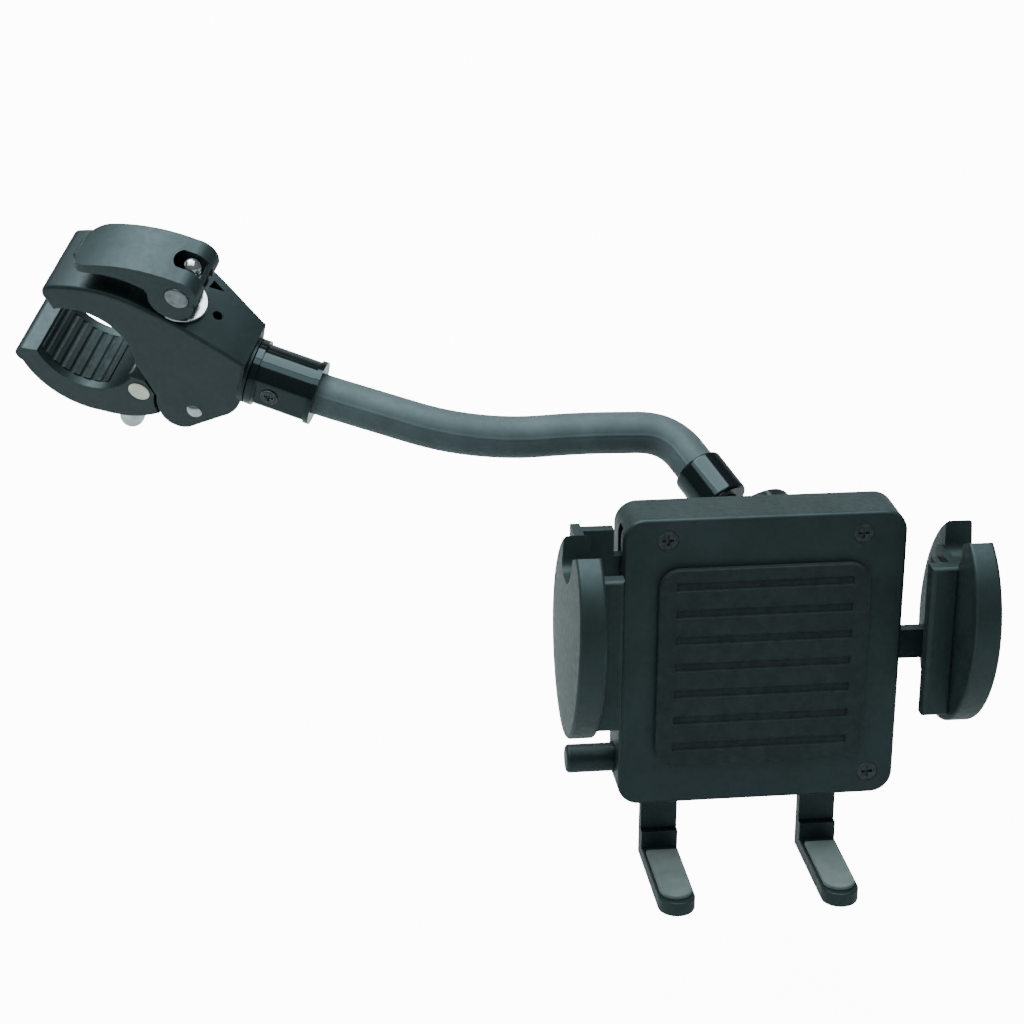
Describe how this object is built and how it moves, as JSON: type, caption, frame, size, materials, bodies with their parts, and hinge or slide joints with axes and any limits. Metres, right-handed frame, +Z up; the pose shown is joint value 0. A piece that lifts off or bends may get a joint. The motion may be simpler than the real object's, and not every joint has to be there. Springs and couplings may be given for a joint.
{
  "type": "handlebar phone mount",
  "caption": "Phone mount for a handlebar: quick-release bar clamp with cam lever, swivel collar, rubber-sleeved gooseneck, ball joint and holder with sliding jaws and feet.",
  "frame": {"origin": "centre of the clamp's bar bore", "axes": "+X from the clamp towards the holder, -Y the way the held phone faces, +Z up along the held phone"},
  "size_m": [0.2137, 0.1314, 0.1405],
  "materials": {
    "black_plastic": "fine-grained moulded nylon",
    "lever_plastic": "satin moulded nylon",
    "jaw_plastic": "satin moulded plastic",
    "collar_black": "glossy black",
    "sleeve_rubber": "smooth matte rubber sleeve",
    "pad_rubber": "ribbed soft rubber",
    "zinc": "bright zinc plate",
    "brushed_zinc": "dull plated end face",
    "black_steel": "black oxide"
  },
  "bodies": {
    "clamp": {"clamp_body": "black_plastic", "upper_jaw_pad": "pad_rubber", "hinge_pin": "zinc", "clamp_washer": "zinc"},
    "lower_jaw": {"lower_jaw": "black_plastic", "lower_jaw_pad": "pad_rubber", "cross_dowel": "brushed_zinc"},
    "bolt": {"tension_bolt": "zinc", "cap_nut": "zinc", "lever_barrel": "zinc"},
    "lever": {"cam_lever": "lever_plastic"},
    "collar": {"arm_collar": "collar_black", "collar_screw": "black_steel", "neck_root": "sleeve_rubber"},
    "neck_mid": {"neck_mid": "sleeve_rubber"},
    "neck_tip": {"neck_tip": "sleeve_rubber", "end_ferrule": "collar_black", "ball_stud": "zinc"},
    "ball_seat": {"ball_seat": "black_plastic"},
    "ball_socket": {"ball_socket": "black_plastic"},
    "lock_nut": {"lock_nut": "black_plastic"},
    "holder": {"case_back": "jaw_plastic", "case_front": "jaw_plastic", "case_screws": "black_steel", "case_pad": "pad_rubber", "swivel_plate": "jaw_plastic"},
    "left_jaw": {"left_jaw": "jaw_plastic", "left_jaw_pad": "pad_rubber"},
    "right_jaw": {"right_jaw": "jaw_plastic", "right_jaw_pad": "pad_rubber"},
    "pinion": {"pinion": "black_plastic"},
    "release_button": {"release_button": "black_plastic"},
    "latch_pawl": {"latch_pawl": "black_plastic"},
    "left_foot": {"left_foot": "jaw_plastic", "left_foot_pad": "pad_rubber"},
    "right_foot": {"right_foot": "jaw_plastic", "right_foot_pad": "pad_rubber"}
  },
  "joints": [
    {"name": "lever_swing", "type": "hinge", "parent": "bolt", "child": "lever", "pos_m": [0.0228, -0.02175, 0.0175], "axis": [0.3761, 0.7973, 0.4721], "range_deg": [0, 95]},
    {"name": "bolt_slide", "type": "slide", "parent": "clamp", "child": "bolt", "axis": [-0.2726, 0.5822, -0.766], "range_m": [0, 0.0025]},
    {"name": "jaw_hinge", "type": "hinge", "parent": "clamp", "child": "lower_jaw", "pos_m": [0.02553, -0.00343, -0.0156], "axis": [-0.3761, -0.7973, -0.4721], "range_deg": [0, 10.31]},
    {"name": "arm_swivel", "type": "hinge", "parent": "clamp", "child": "collar", "pos_m": [0.0368, -0.01331, -0.00789], "axis": [0.9192, -0.2571, -0.2981], "range_deg": [-90, 90]},
    {"name": "neck_bend_a", "type": "hinge", "parent": "collar", "child": "neck_mid", "pos_m": [0.0813, -0.028, -0.0201], "axis": [0, 1, 0], "range_deg": [-30, 30]},
    {"name": "neck_bend_b", "type": "hinge", "parent": "neck_mid", "child": "neck_tip", "pos_m": [0.1133, -0.0275, -0.0218], "axis": [0, 0, 1], "range_deg": [-28, 28]},
    {"name": "holder_tilt", "type": "hinge", "parent": "neck_tip", "child": "ball_seat", "pos_m": [0.1517, -0.053, -0.0415], "axis": [1, 0, 0], "range_deg": [-15, 15]},
    {"name": "holder_pan", "type": "hinge", "parent": "ball_seat", "child": "ball_socket", "pos_m": [0.1517, -0.053, -0.0415], "axis": [0, 0, 1], "range_deg": [-15, 15]},
    {"name": "nut_turn", "type": "hinge", "parent": "ball_socket", "child": "lock_nut", "pos_m": [0.1517, -0.053, -0.0415], "axis": [-0.4538, 0.7195, 0.5258], "range_deg": [0, 90]},
    {"name": "holder_turn", "type": "hinge", "parent": "ball_socket", "child": "holder", "pos_m": [0.1517, -0.053, -0.0415], "axis": [0, 1, 0], "continuous": true},
    {"name": "left_jaw_slide", "type": "slide", "parent": "holder", "child": "left_jaw", "axis": [-1, 0, 0], "range_m": [-0.007, 0.008]},
    {"name": "right_jaw_slide", "type": "slide", "parent": "holder", "child": "right_jaw", "axis": [1, 0, 0], "range_m": [-0.007, 0.008]},
    {"name": "pinion_spin", "type": "hinge", "parent": "holder", "child": "pinion", "pos_m": [0.1477, -0.076, -0.0475], "axis": [0, 1, 0], "range_deg": [-76.4, 66.86]},
    {"name": "button_press", "type": "slide", "parent": "holder", "child": "release_button", "axis": [1, 0, 0], "range_m": [0, 0.0025], "stiffness_N_per_m": 400, "springref_m": -0.002},
    {"name": "pawl_turn", "type": "hinge", "parent": "holder", "child": "latch_pawl", "pos_m": [0.1497, -0.076, -0.0715], "axis": [0, -1, 0], "range_deg": [0, 11.2]},
    {"name": "left_foot_slide", "type": "slide", "parent": "holder", "child": "left_foot", "axis": [0, 0, -1], "range_m": [-0.01, 0.01]},
    {"name": "right_foot_slide", "type": "slide", "parent": "holder", "child": "right_foot", "axis": [0, 0, -1], "range_m": [-0.01, 0.01]}
  ],
  "couplings": [
    {"joint": "lever_swing", "follows": "bolt_slide", "rad_per_m": 663.16},
    {"joint": "jaw_hinge", "follows": "bolt_slide", "rad_per_m": 71.987},
    {"joint": "right_jaw_slide", "follows": "left_jaw_slide", "ratio": 1},
    {"joint": "pinion_spin", "follows": "left_jaw_slide", "rad_per_m": -166.67},
    {"joint": "pawl_turn", "follows": "button_press", "rad_per_m": 76.794}
  ]
}
